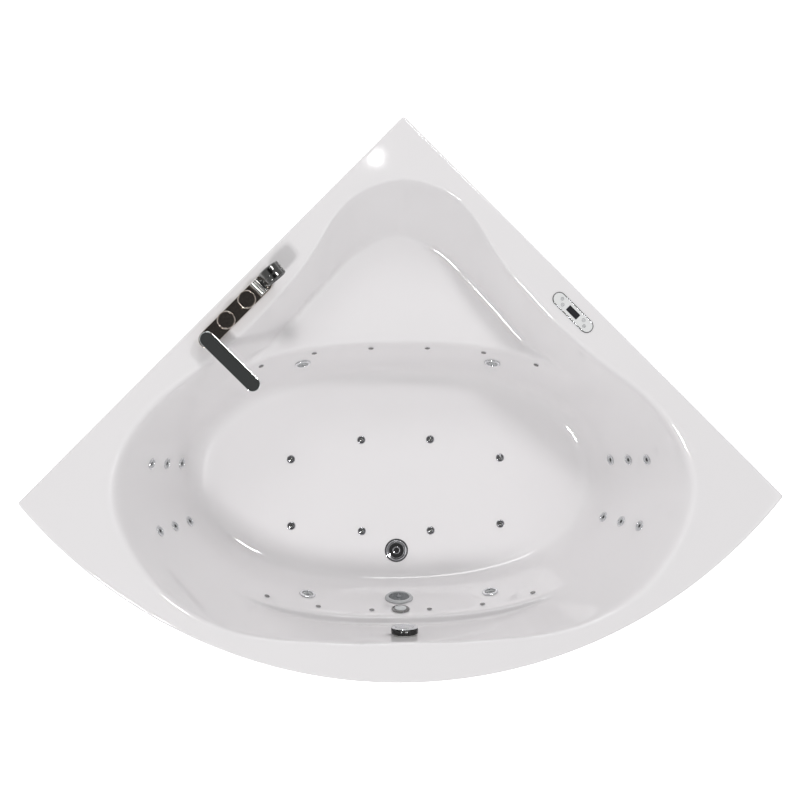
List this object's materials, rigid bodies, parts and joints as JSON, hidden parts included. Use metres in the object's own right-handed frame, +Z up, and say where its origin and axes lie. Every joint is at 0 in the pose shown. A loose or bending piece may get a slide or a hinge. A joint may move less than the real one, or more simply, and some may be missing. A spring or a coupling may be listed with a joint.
{
  "type": "corner bathtub with massage jets",
  "caption": "Corner bathtub with a sunk oval well, a curved front apron, massage jets, a deck tap with hand shower, a keypad, and its frame, pump and waste.",
  "frame": {"origin": "on the floor under the middle of the bounding box", "axes": "+X to the right seen from the room, +Y towards the corner of the walls, +Z up"},
  "size_m": [2.1158, 1.5631, 0.7085],
  "materials": {
    "acrylic": "gloss, white",
    "apron_acrylic": "gloss, white",
    "coated_board": "raw board, resin coated",
    "frame_steel": "zinc grey",
    "zinc_steel": "zinc plated",
    "motor_paint": "satin dark grey",
    "black_plastic": "fine grained",
    "grey_plastic": "satin grey",
    "white_pipe": "smooth",
    "chrome": "polished",
    "dark_chrome": "polished, dark",
    "steel": "ground",
    "lens": "frosted",
    "display_glass": "gloss black",
    "keypad_silver": "satin silver",
    "button_white": "gloss"
  },
  "bodies": {
    "bath": {"bath_shell": "acrylic", "base_board": "coated_board", "frame_rails": "frame_steel", "frame_uprights": "frame_steel", "foot_lock_nuts": "zinc_steel", "wall_brackets": "zinc_steel", "apron_panel": "apron_acrylic", "pump_shelf": "coated_board", "pump_motor": "motor_paint", "pump_volute": "black_plastic", "pump_fan_cover": "black_plastic", "blower": "black_plastic", "control_box": "grey_plastic", "control_box_lid": "grey_plastic", "cable_glands": "black_plastic", "jet_bodies": "white_pipe", "jet_trims": "chrome", "back_jet_bodies": "white_pipe", "back_jet_trims": "chrome", "side_air_jets": "chrome", "floor_jet_bodies": "white_pipe", "floor_jet_caps": "dark_chrome", "suction_body": "white_pipe", "suction_cover": "grey_plastic", "light_housing": "chrome", "light_lens": "lens", "overflow_body": "white_pipe", "overflow_pipe": "white_pipe", "waste_flange": "chrome", "waste_body": "white_pipe", "trap": "white_pipe", "suction_pipe": "white_pipe", "jet_pipes": "white_pipe", "air_pipes": "white_pipe", "keypad_housing": "keypad_silver", "keypad_display": "display_glass", "tap_body": "chrome", "tap_shanks": "zinc_steel"},
    "spout_arm": {"spout": "chrome"},
    "flow_control": {"flow_knob": "chrome"},
    "temperature_control": {"temperature_knob": "chrome"},
    "hand_shower_set": {"hand_shower": "chrome"},
    "overflow_control": {"overflow_knob": "chrome"},
    "waste_plug": {"drain_plug": "dark_chrome"},
    "pump_rotor": {"pump_shaft": "steel", "pump_impeller": "black_plastic", "pump_fan": "black_plastic"},
    "nozzle_1": {"jet_nozzle_1": "dark_chrome"},
    "button_1": {"keypad_button_1": "button_white"},
    "nozzle_2": {"jet_nozzle_2": "dark_chrome"},
    "button_2": {"keypad_button_2": "button_white"},
    "nozzle_3": {"jet_nozzle_3": "dark_chrome"},
    "button_3": {"keypad_button_3": "button_white"},
    "nozzle_4": {"jet_nozzle_4": "dark_chrome"},
    "button_4": {"keypad_button_4": "button_white"},
    "foot_1": {"leveling_foot_1": "zinc_steel"},
    "foot_2": {"leveling_foot_2": "zinc_steel"},
    "foot_3": {"leveling_foot_3": "zinc_steel"},
    "foot_4": {"leveling_foot_4": "zinc_steel"},
    "foot_5": {"leveling_foot_5": "zinc_steel"}
  },
  "joints": [
    {"name": "spout_swivel", "type": "hinge", "parent": "bath", "child": "spout_arm", "pos_m": [-0.54023, 0.16698, 0.64], "axis": [0, 0, 1], "range_deg": [-45, 45]},
    {"name": "flow_turn", "type": "hinge", "parent": "bath", "child": "flow_control", "pos_m": [-0.48861, 0.21859, 0.64], "axis": [0, 0, 1], "range_deg": [0, 90]},
    {"name": "temperature_turn", "type": "hinge", "parent": "bath", "child": "temperature_control", "pos_m": [-0.43275, 0.27446, 0.64], "axis": [0, 0, 1], "range_deg": [-60, 60]},
    {"name": "hand_shower_lift", "type": "slide", "parent": "bath", "child": "hand_shower_set", "axis": [0, 0, 1], "range_m": [0, 0.12]},
    {"name": "overflow_turn", "type": "hinge", "parent": "bath", "child": "overflow_control", "pos_m": [0, -0.66087, 0.50499], "axis": [0, 0.9962, 0.0869], "range_deg": [0, 90]},
    {"name": "plug_lift", "type": "slide", "parent": "bath", "child": "waste_plug", "axis": [0, 0, 1], "range_m": [0, 0.012]},
    {"name": "pump_spin", "type": "hinge", "parent": "bath", "child": "pump_rotor", "pos_m": [-0.045, 0.298, 0.236], "axis": [1, 0, 0], "continuous": true},
    {"name": "nozzle_tilt_1", "type": "hinge", "parent": "bath", "child": "nozzle_1", "pos_m": [0.28048, 0.11097, 0.27312], "axis": [0.9824, -0.187, 0], "range_deg": [-12, 12]},
    {"name": "nozzle_tilt_2", "type": "hinge", "parent": "bath", "child": "nozzle_2", "pos_m": [-0.28048, 0.11097, 0.27312], "axis": [0.9824, 0.187, 0], "range_deg": [-12, 12]},
    {"name": "nozzle_tilt_3", "type": "hinge", "parent": "bath", "child": "nozzle_3", "pos_m": [0.2702, -0.57287, 0.27312], "axis": [-0.9842, -0.1769, 0], "range_deg": [-12, 12]},
    {"name": "nozzle_tilt_4", "type": "hinge", "parent": "bath", "child": "nozzle_4", "pos_m": [-0.2702, -0.57287, 0.27312], "axis": [-0.9842, 0.1769, 0], "range_deg": [-12, 12]},
    {"name": "button_press_1", "type": "slide", "parent": "bath", "child": "button_1", "axis": [0, 0, -1], "range_m": [0, 0.0008], "stiffness_N_per_m": 400, "springref_m": -0.001},
    {"name": "button_press_2", "type": "slide", "parent": "bath", "child": "button_2", "axis": [0, 0, -1], "range_m": [0, 0.0008], "stiffness_N_per_m": 400, "springref_m": -0.001},
    {"name": "button_press_3", "type": "slide", "parent": "bath", "child": "button_3", "axis": [0, 0, -1], "range_m": [0, 0.0008], "stiffness_N_per_m": 400, "springref_m": -0.001},
    {"name": "button_press_4", "type": "slide", "parent": "bath", "child": "button_4", "axis": [0, 0, -1], "range_m": [0, 0.0008], "stiffness_N_per_m": 400, "springref_m": -0.001},
    {"name": "foot_adjust_1", "type": "slide", "parent": "bath", "child": "foot_1", "axis": [0, 0, -1], "range_m": [0, 0.03]},
    {"name": "foot_adjust_2", "type": "slide", "parent": "bath", "child": "foot_2", "axis": [0, 0, -1], "range_m": [0, 0.03]},
    {"name": "foot_adjust_3", "type": "slide", "parent": "bath", "child": "foot_3", "axis": [0, 0, -1], "range_m": [0, 0.03]},
    {"name": "foot_adjust_4", "type": "slide", "parent": "bath", "child": "foot_4", "axis": [0, 0, -1], "range_m": [0, 0.03]},
    {"name": "foot_adjust_5", "type": "slide", "parent": "bath", "child": "foot_5", "axis": [0, 0, -1], "range_m": [0, 0.03]}
  ],
  "couplings": [
    {"joint": "plug_lift", "follows": "overflow_turn", "m_per_rad": 0.00763}
  ]
}
